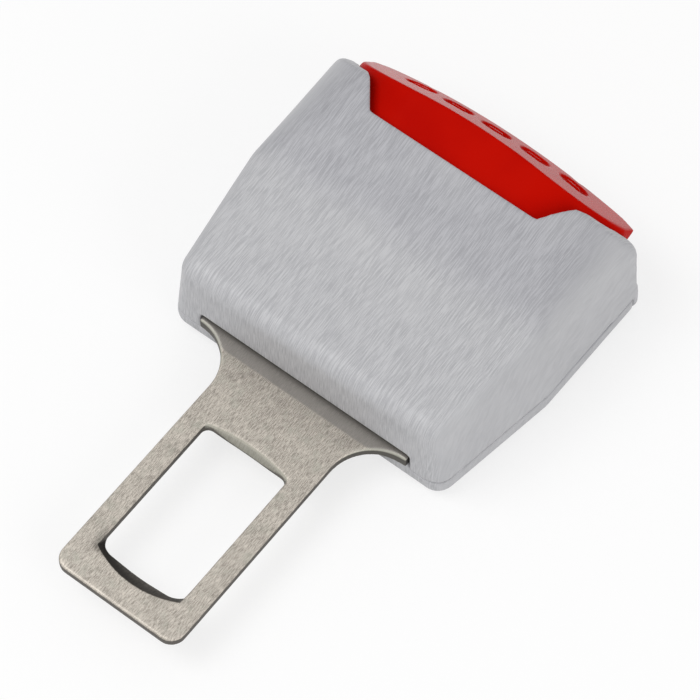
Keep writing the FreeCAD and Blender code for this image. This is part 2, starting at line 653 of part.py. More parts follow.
def buckleFrame():
    body = doc.addObject("PartDesign::Body", "BuckleFrame")
    outer = "Sizes.channelHalf + Sizes.frameThick"
    channel = sketchOn(body, "ChannelOutline", "XZ_Plane", "-Sizes.frameStart")
    polygon(channel, mirroredCorners([(outer, "0"), (outer, sized("cheekTop")),
                                      (sized("channelHalf"), sized("cheekTop")),
                                      (sized("channelHalf"), sized("frameThick"))]))
    pad(body, "Channel", channel, "Sizes.frameReach - Sizes.frameStart", back=True)
    rails = sketchOn(body, "RailCut", "YZ_Plane")
    for rear, front in (("Sizes.frameStart - 1", sized("cheekStart")),
                        (sized("cheekReach"), "Sizes.frameReach + 1")):
        rectangle(rails, rear, front, sized("railTop"), "Sizes.cheekTop + 1")
    lowered = pocket(body, "Rails", rails, symmetric=True)
    tab = sketchOn(body, "TabOutline", "XZ_Plane", "-Sizes.frameStart")
    rectangle(tab, "-Sizes.tabHalf", sized("tabHalf"), "Sizes.frameThick / 2", sized("tabTop"))
    pad(body, "Tab", tab, sized("tabThick"), back=True)
    bores = sketchOn(body, "PivotBores", "YZ_Plane")
    circle(bores, sized("pivotReach"), sized("pivotHeight"), "Sizes.pivotRadius + Sizes.pivotFit")
    pocket(body, "PivotHoles", bores, symmetric=True)
    rod = sketchOn(body, "RodBore", "XZ_Plane")
    circle(rod, "0", sized("rodHeight"), "Sizes.rodRadius + Sizes.rivetFit")
    pocket(body, "RodHole", rod, "Sizes.creaseReach / 2", back=False)
    window = sketchOn(body, "ToothWindowOutline", "XY_Plane")
    rectangle(window, "-(Sizes.toothHalf + Sizes.toothGap)", "Sizes.toothHalf + Sizes.toothGap",
              "Sizes.toothBack - Sizes.toothGap", "Sizes.toothFront + Sizes.toothGap")
    pocket(body, "ToothWindow", window, symmetric=True)
    holes = rivetHoles(body, "RivetHoles", "Sizes.rivetRadius + Sizes.rivetFit")
    pocket(body, "Drilling", holes, symmetric=True)
    sinks = rivetHoles(body, "RivetSinks", "Sizes.rivetFlush + Sizes.rivetFit", sized("frameThick"))
    body.Tip = pocket(body, "Sinking", sinks, sized("rivetSink"))
    return body


def latchLever():
    body = doc.addObject("PartDesign::Body", "LatchLever")
    outline = sketchOn(body, "LeverOutline", "XY_Plane", sized("leverHeight"))
    polygon(outline, mirroredCorners([
        (sized("leverHalf"), sized("lugReach") + " - Sizes.lugOverlap"),
        (sized("leverHalf"), sized("earBack")), (sized("earHalf"), sized("earBack")),
        (sized("earHalf"), sized("earFront")), (sized("leverNose"), sized("earFront")),
        (sized("leverNose"), sized("leverReach"))]))
    pad(body, "Lever", outline, sized("leverThick"))
    lugs = sketchOn(body, "LugOutline", "YZ_Plane")
    circle(lugs, sized("pivotReach"), sized("pivotHeight"), sized("lugRadius"))
    pad(body, "Lugs", lugs, "2 * Sizes.leverHalf", symmetric=True)
    webs = sketchOn(body, "WebOutline", "YZ_Plane")
    rectangle(webs, sized("pivotReach"), sized("lugReach"), sized("leverHeight"),
              "Sizes.pivotHeight + Sizes.pivotRadius")
    pad(body, "Webs", webs, "2 * Sizes.leverHalf", symmetric=True)
    between = sketchOn(body, "BetweenLugs", "XY_Plane", "Sizes.leverHeight - Sizes.lugRadius")
    rectangle(between, "-Sizes.lugInner", sized("lugInner"), "0", sized("lugReach"))
    pocket(body, "Opening", between, "3 * Sizes.lugRadius", back=True)
    tooth = sketchOn(body, "ToothOutline", "YZ_Plane")
    polygon(tooth, [(sized("toothBack"), sized("leverHeight")), (sized("toothBack"), sized("toothTip")),
                    ("Sizes.toothBack + Sizes.toothLand", sized("toothTip")),
                    (sized("toothFront"), "Sizes.toothTip + Sizes.toothBevel"),
                    (sized("toothFront"), sized("leverHeight"))])
    pad(body, "Tooth", tooth, "2 * Sizes.toothHalf", symmetric=True)
    bore = sketchOn(body, "PinBore", "YZ_Plane")
    circle(bore, sized("pivotReach"), sized("pivotHeight"), "Sizes.pivotRadius + Sizes.pivotFit")
    body.Tip = pocket(body, "PinHole", bore, symmetric=True)
    return body


def ejectorSlide():
    body = doc.addObject("PartDesign::Body", "EjectorSlide")
    barFront = "Sizes.ejectorBack + Sizes.ejectorBar"
    outline = sketchOn(body, "SlideOutline", "XY_Plane", sized("ejectorFloor"))
    polygon(outline, mirroredCorners([
        (sized("ejectorHalf"), sized("ejectorBack")), (sized("ejectorHalf"), barFront),
        (sized("prongOuter"), barFront), (sized("prongOuter"), sized("ejectorFront")),
        (sized("prongInner"), sized("ejectorFront")), (sized("prongInner"), barFront)]))
    pad(body, "Slide", outline, sized("ejectorThick"))
    hub = sketchOn(body, "HubOutline", "XY_Plane", sized("ejectorFloor"))
    rectangle(hub, "-Sizes.hubHalf", sized("hubHalf"), sized("ejectorBack"), barFront)
    pad(body, "Hub", hub, "Sizes.hubTop - Sizes.ejectorFloor")
    bore = sketchOn(body, "RodBore", "XZ_Plane")
    circle(bore, "0", sized("rodHeight"), "Sizes.rodRadius + Sizes.rodFit")
    body.Tip = pocket(body, "RodHole", bore, symmetric=True)
    return body


# Turned and coiled pieces

def turned(start, way, *steps):
    # a round piece of steps (length, radius) along way
    shape = None
    place = start
    for length, radius in steps:
        step = Part.makeCylinder(radius, length, place, way)
        shape = shape.fuse(step) if shape else step
        place = place + way * length
    return shape.removeSplitter()


def dome(base, way, radius, height):
    # a low round head standing on base
    sphere = (radius ** 2 + height ** 2) / (2 * height)
    ball = Part.makeSphere(sphere, base - way * (sphere - height))
    return ball.common(Part.makeCylinder(radius + 1, height, base, way))


def rivets():
    down = Vector(0, 0, -1)
    places = [Vector(size("rivetSideX"), size("rivetSideY"), size("frameThick")),
              Vector(-size("rivetSideX"), size("rivetSideY"), size("frameThick")),
              Vector(0, size("rivetEndY"), size("frameThick"))]
    grip = size("frameThick") + size("plateThick")
    solids = []
    for place in places:
        shank = turned(place, down, (size("rivetSink"), size("rivetFlush")),
                       (grip - size("rivetSink"), size("rivetRadius")))
        solids.append(shank.fuse(dome(place + down * grip, down, size("rivetHead"), size("rivetDome"))))
    return Part.makeCompound(solids)


def cheekFace():
    return size("channelHalf") + size("frameThick")


def pivotPin():
    across = Vector(1, 0, 0)
    start = Vector(-cheekFace() - size("pinHeadThick"), size("pivotReach"), size("pivotHeight"))
    groove = (size("clipThick") + 2 * size("clipGap"), size("pivotRadius") - size("clipGroove"))
    return turned(start, across, (size("pinHeadThick"), size("pinHead")),
                  (2 * cheekFace(), size("pivotRadius")), groove, (size("clipThick"), size("pivotRadius")))


def pinClip():
    across = Vector(1, 0, 0)
    base = Vector(cheekFace() + size("clipGap"), size("pivotReach"), size("pivotHeight"))
    seat = size("pivotRadius") - size("clipGroove") + size("rivetFit")
    ring = Part.makeCylinder(size("clipRadius"), size("clipThick"), base, across)
    ring = ring.cut(Part.makeCylinder(seat, size("clipThick"), base, across))
    mouth = Part.makeBox(size("clipThick"), 2 * seat - size("clipGroove"), size("clipRadius"),
                         base - Vector(0, seat - size("clipGroove") / 2, 0))
    return ring.cut(mouth)


def guideRod():
    start = Vector(0, size("frameStart"), size("rodHeight"))
    return Part.makeCylinder(size("rodRadius"), size("rodReach") - size("frameStart"), start,
                             Vector(0, 1, 0))


def coil(start, way, length, radius, wire, turns):
    # a compression spring between two points along way
    pitch = (length - wire) / turns
    line = Part.makeHelix(pitch, length - wire, radius)
    profile = Part.Wire(Part.makeCircle(wire / 2, Vector(radius, 0, 0), Vector(0, radius, pitch / math.tau)))
    spring = Part.Wire(line).makePipeShell([profile], True, True)
    spring.translate(Vector(0, 0, wire / 2))
    seat = Placement(start, Rotation(Vector(0, 0, 1), way)).multiply(spring.Placement)
    spring.Placement = Placement()
    return spring.transformGeometry(seat.toMatrix())


def ejectorSpring():
    near = size("frameStart") + size("tabThick") + size("springSeat")
    far = size("ejectorBack") - size("springSeat")
    return coil(Vector(0, near, size("rodHeight")), Vector(0, 1, 0), far - near,
                size("springRadius"), size("springWire"), size("springTurns"))


def buttonSpring(side):
    # from the tongue-end screw boss to the rear end of the button's leg
    x = side * (size("legInner") + size("legThick") / 2)
    legEnd = Vector(x, size("legBack"), (size("legFloor") + size("legTop")) / 2)
    far = legEnd - travelWay * (size("springSeat") + size("returnLean"))
    start = far - travelWay * size("returnLength")
    return coil(start, travelWay, size("returnLength"), size("returnRadius"),
                size("returnWire"), size("returnTurns"))


def torsionSpring():
    # coils round the pivot pin, with one leg along the latch and one down towards the frame
    radius, wire, pitch = size("torsionRadius"), size("torsionWire"), size("torsionPitch")
    middle = Vector(0, size("pivotReach"), size("pivotHeight"))
    reach = Vector(0, size("torsionRest"), size("leverHeight") + size("leverThick") + wire / 2) - middle
    setOff = math.atan2(reach.z, reach.y) + math.acos(radius / reach.Length)
    turns = size("torsionTurns") + (math.pi - setOff) / math.tau
    drift = Vector(pitch / (math.tau * radius), 0, 0)
    outward = Vector(0, math.cos(setOff), math.sin(setOff))
    onward = Vector(0, -math.sin(setOff), math.cos(setOff))
    start = middle + outward * radius + Vector(size("torsionStart"), 0, 0)
    end = middle + Vector(size("torsionStart") + pitch * turns, -radius, 0)
    rest = start - (onward + drift) * math.sqrt(reach.Length ** 2 - radius ** 2)
    foot = end + (Vector(0, 0, -1) + drift) * (end.z - size("torsionFoot"))
    coils = Part.makeHelix(pitch, pitch * turns, radius)
    coils.Placement = Placement(middle + Vector(size("torsionStart"), 0, 0),
                                Rotation(outward, onward, Vector(1, 0, 0), "XYZ"))
    path = Part.Wire([Part.LineSegment(rest, start).toShape()] + coils.Edges
                     + [Part.LineSegment(end, foot).toShape()])
    profile = Part.Wire(Part.makeCircle(wire / 2, rest, start - rest))
    return path.makePipeShell([profile], True, False)


def coverScrews():
    screws = []
    for place in screwPlaces():
        head = place - Vector(0, 0, size("backDepth") - size("screwSink") + size("screwHeadThick"))
        screw = turned(head, Vector(0, 0, 1), (size("screwHeadThick"), size("screwHead")),
                       (size("screwLength"), size("screwRadius")))
        long, narrow = size("crossLength"), size("crossWidth")
        for across, along in ((long, narrow), (narrow, long)):
            corner = head - Vector(across / 2, along / 2, 0)
            screw = screw.cut(Part.makeBox(across, along, size("screwHeadThick") / 2, corner))
        screws.append(screw)
    return Part.makeCompound(screws)


for build, label in ((tonguePlate, "tongue_plate"), (buckleFrame, "buckle_frame"),
                     (latchLever, "latch_lever"), (ejectorSlide, "ejector_slide")):
    finish(build(), label)
for name, shape, label in (
        ("Shell", frontShell(), "front_shell"), ("Cover", backCover(), "back_cover"),
        ("Button", pressButton(), "press_button"), ("Rivets", rivets(), "frame_rivets"),
        ("PivotPin", pivotPin(), "latch_pivot_pin"), ("PinClip", pinClip(), "pivot_pin_clip"),
        ("LatchSpring", torsionSpring(), "latch_spring"), ("GuideRod", guideRod(), "ejector_guide_rod"),
        ("EjectorSpring", ejectorSpring(), "ejector_spring"),
        ("SpringLeft", buttonSpring(-1), "button_spring_left"),
        ("SpringRight", buttonSpring(1), "button_spring_right"), ("Screws", coverScrews(), "cover_screws")):
    finish(solidPiece(name, shape), label)
doc.recompute()

faulty = [thing.Name for thing in doc.Objects if "Invalid" in thing.State or "Error" in thing.State]
faulty += [piece.Label for piece in subParts if piece.Shape.isNull() or not piece.Shape.isValid()]
if faulty:
    raise RuntimeError("not built: " + ", ".join(faulty))
os.makedirs("parts", exist_ok=True)
for piece in subParts:
    piece.Shape.exportStep(f"parts/{piece.Label}.step")
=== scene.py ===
import json
import math

import bmesh
import bpy
import numpy as np
from mathutils import Matrix, Vector


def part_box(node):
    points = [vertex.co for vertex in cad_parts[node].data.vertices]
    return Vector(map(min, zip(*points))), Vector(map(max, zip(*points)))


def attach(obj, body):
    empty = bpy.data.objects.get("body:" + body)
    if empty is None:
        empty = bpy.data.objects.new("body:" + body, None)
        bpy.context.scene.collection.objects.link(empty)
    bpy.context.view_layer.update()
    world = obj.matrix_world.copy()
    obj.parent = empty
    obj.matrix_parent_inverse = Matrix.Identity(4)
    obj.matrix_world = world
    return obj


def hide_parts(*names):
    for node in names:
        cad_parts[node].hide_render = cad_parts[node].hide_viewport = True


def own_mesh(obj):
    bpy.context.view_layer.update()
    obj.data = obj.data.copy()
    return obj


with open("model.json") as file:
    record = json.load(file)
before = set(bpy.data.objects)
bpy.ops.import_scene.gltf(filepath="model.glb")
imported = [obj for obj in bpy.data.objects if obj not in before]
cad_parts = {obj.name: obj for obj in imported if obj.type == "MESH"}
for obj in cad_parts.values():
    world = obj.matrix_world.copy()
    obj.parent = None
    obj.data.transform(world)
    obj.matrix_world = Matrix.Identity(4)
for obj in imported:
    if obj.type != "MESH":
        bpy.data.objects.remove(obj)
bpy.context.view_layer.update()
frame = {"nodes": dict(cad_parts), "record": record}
nodes = frame["nodes"]
mm = 0.001
weldReach = 0.001  # millimetres
print("frame loaded")

# Places are told in millimetres from the middle of the slot that the tongue leaves,
# at the height of the tongue's upper face
tongueReach = 43.2
tongueLow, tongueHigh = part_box("tongue_plate")
slotPlace = Vector((0, tongueLow.y + tongueReach * mm, tongueHigh.z))


class Wire:
    # a socket that can stand in an expression, which then adds its own nodes
    def __init__(self, owner, socket):
        self.owner = owner
        self.socket = socket

    def maths(self, operation, *values):
        return self.owner.node("ShaderNodeMath", {"operation": operation}, dict(enumerate(values)))

    def __add__(self, other):
        return self.maths("ADD", self, other)

    def __radd__(self, other):
        return self.maths("ADD", other, self)

    def __sub__(self, other):
        return self.maths("SUBTRACT", self, other)

    def __rsub__(self, other):
        return self.maths("SUBTRACT", other, self)

    def __mul__(self, other):
        return self.maths("MULTIPLY", self, other)

    def __rmul__(self, other):
        return self.maths("MULTIPLY", other, self)

    def __truediv__(self, other):
        return self.maths("DIVIDE", self, other)

    def __pow__(self, other):
        return self.maths("POWER", self, other)

    def size(self):
        return self.maths("ABSOLUTE", self)

    def between(self, low, high):
        # 0 at low, 1 at high, eased
        return self.owner.node("ShaderNodeMapRange", {"interpolation_type": "SMOOTHSTEP"},
                               {0: self, 1: low, 2: high})


class Tree:
    # the nodes of one material or of the world
    def __init__(self, tree):
        self.tree = tree

    def node(self, kind, settings=None, sockets=None, out=0):
        made = self.tree.nodes.new(kind)
        for name, value in (settings or {}).items():
            setattr(made, name, value)
        for name, value in (sockets or {}).items():
            self.feed(made.inputs[name], value)
        return Wire(self, made.outputs[out])

    def feed(self, socket, value):
        if isinstance(value, Wire):
            self.tree.links.new(value.socket, socket)
        else:
            socket.default_value = value


class Paint(Tree):
    def __init__(self, name, **settings):
        self.material = bpy.data.materials.new(name)
        self.material.use_nodes = True
        super().__init__(self.material.node_tree)
        self.surface = self.tree.nodes["Principled BSDF"]
        for socket, value in settings.items():
            self.surface.inputs[socket.replace("_", " ")].default_value = value

    def set(self, name, value):
        self.feed(self.surface.inputs[name], value)

    def mix(self, factor, first, second):
        colours = {0: factor, 6: first, 7: second}
        return self.node("ShaderNodeMix", {"data_type": "RGBA"}, colours, out=2)

    def place(self, across=1, along=1, up=1):
        # millimetres from the slot, stretched
        coordinates = self.node("ShaderNodeTexCoord", out=3)
        moved = self.node("ShaderNodeVectorMath", {"operation": "SUBTRACT"}, {0: coordinates, 1: slotPlace})
        return self.node("ShaderNodeVectorMath", {"operation": "MULTIPLY"},
                         {0: moved, 1: (across / mm, along / mm, up / mm)})

    def reach(self, letter):
        # how far along one axis, in millimetres from the slot
        return self.node("ShaderNodeSeparateXYZ", None, {0: self.place()}, out="XYZ".index(letter))

    def noise(self, where, scale, detail=2.0, roughness=0.5):
        sockets = {"Vector": where, "Scale": scale, "Detail": detail, "Roughness": roughness}
        return self.node("ShaderNodeTexNoise", None, sockets)

    def axis(self, letter):
        facing = self.node("ShaderNodeTexCoord", out=1)
        return self.node("ShaderNodeSeparateXYZ", None, {0: facing}, out="XYZ".index(letter))

    def bump(self, height, depth):
        sockets = {"Height": height, "Distance": depth * mm, "Strength": 1.0}
        self.set("Normal", self.node("ShaderNodeBump", None, sockets))


# Finishes

shellFinish = {"colour": (0.52, 0.52, 0.535, 1), "groove": (0.385, 0.386, 0.402, 1),
               "bloom": (0.55, 0.55, 0.56, 1), "bloomScale": 0.09, "bloomFrom": (0.45, 0.8),
               "bloomShare": 0.3, "paintedShade": (0.425, 0.425, 0.45, 1), "paintedShadeGroove": (0.315, 0.315, 0.336, 1),
               "paintedShadeFrom": (18.5, 25.0), "paintedShadeFacing": (0.4, 0.9), "contrast": (0.37, 0.63),
               "lineCrispness": 0.6, "poreScale": 4.5, "poreShare": 0.15,
               "sideFrom": (0.35, 0.8), "sideSmooth": 0.8, "glossChange": 0.3,
               "linePitch": 0.12, "lineLength": 3.0, "wander": 0.35, "wanderPitch": 4.0, "lineDepth": 0.008,
               "roughness": 0.5}
buttonFinish = {"colour": (0.5, 0.0042, 0.0008, 1), "deep": (0.45, 0.003, 0.0006, 1), "roughness": 0.22,
                "gloss": 0.01, "glare": 0.4, "glareRoughness": 0.12, "glareFacing": (0.35, 0.8),
                "cloudScale": 0.12, "cloudFrom": (0.3, 0.7), "fineScale": 3.2, "fineShare": 0.1}
# on the tongue, edge is painted shade on upright walls, shade a painted reflection band by the slot, dish
# painted shade in the tip dish, and worn a painted highlight colour
tongueFinish = {"colour": (0.57, 0.525, 0.465, 1), "dark": (0.25, 0.226, 0.198, 1),
                "green": (0.36, 0.365, 0.31, 1), "edge": (0.085, 0.078, 0.07, 1),
                "worn": (0.66, 0.63, 0.57, 1), "shade": (0.27, 0.256, 0.24, 1),
                "dish": (0.035, 0.031, 0.028, 1), "metallic": 0.9, "roughness": 0.42, "depth": 0.006,
                "speckPitch": 0.15, "speckCrispness": 0.6, "streakPitch": 0.11, "streakLength": 1.1,
                "streakDetail": 3.0, "streakCrispness": 0.65, "patchPitch": 3.0,
                "speckShare": 0.3, "streakShare": 0.6, "patchShare": 0.1, "contrast": (0.4, 0.59),
                "tintScale": 0.4, "tintDetail": 3.0, "tintCrispness": 0.7, "tintFrom": (0.48, 0.72),
                "tintShare": 0.4, "shadeEdge": (-2.35, -2.0), "shadeEnds": (12.5, 17.0),
                "shadeLean": 1.6, "shadeShare": 0.8, "uprightFrom": (0.2, 0.75), "uprightShare": 0.9,
                "turningFrom": (0.6, 0.85), "turningTo": (0.93, 0.99), "rimHighlightShare": 0.15,
                "turningShare": 0.1, "mottleGloss": 0.3, "uprightGloss": 0.1, "highlightGloss": 0.2}
# the dishes at the window's two ends, from the window's end and the dish beyond it
dishes = {"halfWidth": 7.4, "sideFade": 0.5, "tip": (-37.3, -1.9), "body": (-13.1, 1.0),
          "tipFacing": (0.04, 0.2), "tipFade": (1.5, 2.5), "tipDepthFade": (0.3, 1.9),
          "tipDepthShare": 0.2, "tipAcross": (-6, 7), "tipAcrossShare": 0.12,
          "cornerAlong": (1.2, 3.4), "cornerInner": (-6.2, -5.0), "cornerOuter": (-9.0, -7.3),
          "cornerStart": (-1.5, -0.5), "cornerShare": 0.5, "bodyFacing": (-0.4, -0.12),
          "bodyFade": (-2, -1), "bodyShare": 0.6, "rimFade": (0.05, 0.7)}
zincFinish = {"colour": (0.55, 0.56, 0.56, 1), "dark": (0.42, 0.43, 0.44, 1), "roughness": 0.34}
latchFinish = {"colour": (0.3, 0.3, 0.31, 1), "dark": (0.2, 0.2, 0.21, 1), "roughness": 0.38}
turnedFinish = {"colour": (0.56, 0.55, 0.53, 1), "dark": (0.44, 0.43, 0.42, 1), "roughness": 0.26}
wireFinish = {"colour": (0.42, 0.42, 0.44, 1), "dark": (0.3, 0.3, 0.32, 1), "roughness": 0.24}
screwFinish = {"colour": (0.035, 0.035, 0.038, 1), "dark": (0.02, 0.02, 0.022, 1), "roughness": 0.42}
ejectorFinish = {"colour": (0.78, 0.77, 0.7, 1), "dark": (0.7, 0.69, 0.62, 1), "roughness": 0.5}


def shellPlastic():
    # moulded grey plastic with fine wandering lines along the length, smoother on its sides, and painted
    # shade on its upward faces past the crease towards the button
    look = shellFinish
    paint = Paint("greyMoulding", Roughness=look["roughness"], Metallic=0.0)
    bend = (paint.noise(paint.place(), 1 / look["wanderPitch"]) - 0.5) * look["wander"]
    spread = paint.node("ShaderNodeCombineXYZ", None, {0: bend})
    where = paint.node("ShaderNodeVectorMath", {"operation": "ADD"}, {0: paint.place(), 1: spread})
    along = 1 / look["lineLength"]
    stretched = paint.node("ShaderNodeVectorMath", {"operation": "MULTIPLY"},
                           {0: where, 1: (1 / look["linePitch"], along, along)})
    lines = paint.noise(stretched, 1.0, roughness=look["lineCrispness"])
    pores = paint.noise(paint.place(), look["poreScale"], roughness=look["lineCrispness"])
    front = 1 - paint.axis("X").size().between(*look["sideFrom"]) * look["sideSmooth"]
    grain = (lines - 0.5 + (pores - 0.5) * look["poreShare"]) * front
    # painted shade: upward faces past the crease, towards the button, take darker colours
    paintedShade = paint.reach("Y").between(*look["paintedShadeFrom"]) * paint.axis("Z").between(*look["paintedShadeFacing"])
    groove = paint.mix(paintedShade, look["groove"], look["paintedShadeGroove"])
    ridge = paint.mix(paintedShade, look["colour"], look["paintedShade"])
    shade = paint.mix((grain + 0.5).between(*look["contrast"]), groove, ridge)
    clouds = paint.noise(paint.place(), look["bloomScale"]).between(*look["bloomFrom"])
    paint.set("Base Color", paint.mix(clouds * look["bloomShare"], shade, look["bloom"]))
    paint.set("Roughness", look["roughness"] - grain * look["glossChange"])
    paint.bump(grain, look["lineDepth"])
    return paint.material


def buttonPlastic():
    # plain red, with its glare kept to the press face
    look = buttonFinish
    paint = Paint("redMoulding", Specular_IOR_Level=look["gloss"], Coat_Roughness=look["glareRoughness"])
    clouds = paint.noise(paint.place(), look["cloudScale"]).between(*look["cloudFrom"])
    fine = paint.noise(paint.place(), look["fineScale"])
    paint.set("Base Color", paint.mix(clouds, look["deep"], look["colour"]))
    paint.set("Roughness", look["roughness"] + fine * look["fineShare"])
    paint.set("Coat Weight", paint.axis("Y").between(*look["glareFacing"]) * look["glare"])
    return paint.material


def tongueSteel():
    # plated sheet: speckled faces, painted shade on the upright edge walls, a painted reflection band where
    # it enters the casing, painted shade in the tip dish and painted highlights on the body dish rim and
    # edge turns
    look = tongueFinish
    paint = Paint("platedSheet", Metallic=look["metallic"])
    across, along = paint.reach("X"), paint.reach("Y")
    specks = paint.noise(paint.place(), 1 / look["speckPitch"], roughness=look["speckCrispness"])
    streaks = paint.noise(paint.place(1 / look["streakPitch"], 1 / look["streakLength"]), 1.0,
                          look["streakDetail"], look["streakCrispness"])
    patches = paint.noise(paint.place(), 1 / look["patchPitch"])
    mottle = specks * look["speckShare"] + streaks * look["streakShare"] + patches * look["patchShare"]
    sheet = paint.mix(mottle.between(*look["contrast"]), look["dark"], look["colour"])
    tint = paint.noise(paint.place(), look["tintScale"], look["tintDetail"], look["tintCrispness"])
    sheet = paint.mix(tint.between(*look["tintFrom"]) * look["tintShare"], sheet, look["green"])
    # painted reflection: a shade band on the plate beside the slot stands in for the casing's dark end wall
    ends = across.size().between(*look["shadeEnds"]) * look["shadeLean"]
    nearSlot = (along - ends).between(*look["shadeEdge"])
    sheet = paint.mix(nearSlot * look["shadeShare"], sheet, look["shade"])
    bow = 1 - (across / dishes["halfWidth"]) ** 2

    # painted shade in the dish at the tip, and in the corner beside it
    tipEnd, tipDepth = dishes["tip"]

    def pastTip(reach):
        return along.between(tipEnd + reach[0], tipEnd + reach[1])

    fromRim = along - (bow * tipDepth + tipEnd)
    facing = paint.axis("Y").between(*dishes["tipFacing"]) * (1 - pastTip(dishes["tipFade"]))
    corner = (1 - pastTip(dishes["cornerAlong"])) * (1 - across.between(*dishes["cornerInner"]))
    corner = corner * across.between(*dishes["cornerOuter"]) * pastTip(dishes["cornerStart"])
    deep = 1 - fromRim.between(*dishes["tipDepthFade"]) * dishes["tipDepthShare"]
    dark = facing * deep * (1 - across.between(*dishes["tipAcross"]) * dishes["tipAcrossShare"])
    # the dish colour is painted shade on the tip dish's faces that face the body, and on the corner
    sheet = paint.mix(dark + corner * dishes["cornerShare"], sheet, look["dish"])

    # the dish at the body, tinted greener where it faces the tip, and a painted highlight along its soft rim
    bodyEnd, bodyDepth = dishes["body"]
    fromRim = (along - (bow * bodyDepth + bodyEnd)).size()
    nearBody = along.between(bodyEnd + dishes["bodyFade"][0], bodyEnd + dishes["bodyFade"][1])
    hollow = (1 - paint.axis("Y").between(*dishes["bodyFacing"])) * nearBody
    sheet = paint.mix(hollow * dishes["bodyShare"], sheet, look["green"])
    inside = 1 - across.size().between(dishes["halfWidth"] - dishes["sideFade"], dishes["halfWidth"])
    rimHighlight = (1 - fromRim.between(*dishes["rimFade"])) * inside

    upright = 1 - paint.axis("Z").size().between(*look["uprightFrom"])
    level = 1 - paint.axis("Z").between(*look["turningTo"])
    turning = paint.axis("Z").between(*look["turningFrom"]) * level * (1 - facing)
    # painted shade: the upright walls at the sheet's edges take the dark edge colour
    sheet = paint.mix(upright * look["uprightShare"], sheet, look["edge"])
    # painted highlights: the body dish rim and the turn of the top faces into the edges lighten towards the
    # worn colour, which is a painted highlight
    paintedHighlights = rimHighlight * look["rimHighlightShare"] + turning * look["turningShare"]
    paint.set("Base Color", paint.mix(paintedHighlights, sheet, look["worn"]))
    dulled = upright * look["uprightGloss"] + (rimHighlight + turning) * look["highlightGloss"]
    paint.set("Roughness", look["roughness"] + (mottle - 0.5) * look["mottleGloss"] + dulled)
    paint.bump(mottle, look["depth"])
    return paint.material


plainMarks = {"detail": 3.0, "crispness": 0.6, "blotchScale": 0.35, "markShare": 0.6, "blotchShare": 0.4,
              "contrast": (0.35, 0.65), "glossChange": 0.3, "depth": 0.006}


def plainMetal(name, look, pitch, stretch=(1, 1, 1), metallic=1.0):
    paint = Paint(name, Metallic=metallic)
    marks = paint.noise(paint.place(*stretch), 1 / pitch, plainMarks["detail"], plainMarks["crispness"])
    blotches = paint.noise(paint.place(), plainMarks["blotchScale"])
    worn = marks * plainMarks["markShare"] + blotches * plainMarks["blotchShare"]
    paint.set("Base Color", paint.mix(worn.between(*plainMarks["contrast"]), look["dark"], look["colour"]))
    paint.set("Roughness", look["roughness"] + (worn - 0.5) * plainMarks["glossChange"])
    paint.bump(marks, plainMarks["depth"])
    return paint.material


finishes = {
    "shell_plastic": shellPlastic(),
    "button_plastic": buttonPlastic(),
    "tongue_steel": tongueSteel(),
    "frame_steel": plainMetal("zincSheet", zincFinish, 1.2),
    "latch_steel": plainMetal("hardenedSheet", latchFinish, 0.4, (1, 0.2, 1)),
    "rivet_steel": plainMetal("turnedSteel", turnedFinish, 0.3, (1, 1, 3)),
    "spring_steel": plainMetal("drawnWire", wireFinish, 0.5),
    "screw_steel": plainMetal("blackenedSteel", screwFinish, 0.5, metallic=0.6),
    "ejector_plastic": plainMetal("naturalMoulding", ejectorFinish, 0.8, metallic=0.0),
}
slotOf = {part["node"]: part["material_slot"] for part in frame["record"]["subparts"]}
bodyOf = {node: body for body, members in frame["record"]["behaviour"]["bodies"].items() for node in members}
print("finishes ready")


# Pieces

def standIn(node, name):
    # a welded copy of a node's mesh, to be worked on
    mesh = nodes[node].data.copy()
    mesh.materials.clear()
    mesh.materials.append(finishes[slotOf[node]])
    work = bmesh.new()
    work.from_mesh(mesh)
    bmesh.ops.remove_doubles(work, verts=work.verts, dist=weldReach * mm)
    work.to_mesh(mesh)
    work.free()
    piece = bpy.data.objects.new(name, mesh)
    bpy.context.scene.collection.objects.link(piece)
    return piece


def settle(piece):
    # the modifiers' result becomes the piece's own mesh
    graph = bpy.context.evaluated_depsgraph_get()
    mesh = bpy.data.meshes.new_from_object(piece.evaluated_get(graph))
    piece.modifiers.clear()
    piece.data = mesh


def relax(piece, rounds, weightOf):
    # each point moves towards the mean of its neighbours by its own weight
    mesh = piece.data
    count = len(mesh.vertices)
    points = np.empty(count * 3)
    mesh.vertices.foreach_get("co", points)
    points = points.reshape(-1, 3)
    ends = np.empty(len(mesh.edges) * 2, np.int32)
    mesh.edges.foreach_get("vertices", ends)
    first, second = ends[0::2], ends[1::2]
    joined = np.bincount(first, minlength=count) + np.bincount(second, minlength=count)
    weight = weightOf((points - np.array(slotPlace)) / mm)[:, None]
    for _ in range(rounds):
        total = np.stack([np.bincount(first, points[second, k], count)
                          + np.bincount(second, points[first, k], count) for k in range(3)], 1)
        points += weight * (total / joined[:, None] - points)
    mesh.vertices.foreach_set("co", points.ravel())
    mesh.update()


def hand(piece, node, smoothAngle=None):
    if smoothAngle is None:
        for face in piece.data.polygons:
            face.use_smooth = True
    else:
        piece.data.shade_smooth()
        work = bmesh.new()
        work.from_mesh(piece.data)
        for edge in work.edges:
            edge.smooth = len(edge.link_faces) == 2 and edge.calc_face_angle() < smoothAngle
        work.to_mesh(piece.data)
        work.free()
    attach(piece, bodyOf[node])
    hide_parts(node)


def voxelled(piece, grain):
    remesh = piece.modifiers.new("even", "REMESH")
    remesh.mode = "VOXEL"
    remesh.voxel_size = grain * mm
    settle(piece)


def lighten(piece, share):
    # fewer faces where the form is plain
    thin = piece.modifiers.new("fewer", "DECIMATE")
    thin.ratio = share
    settle(piece)


def eased(distance, reach):
    return np.clip(1 - distance / reach, 0, 1)


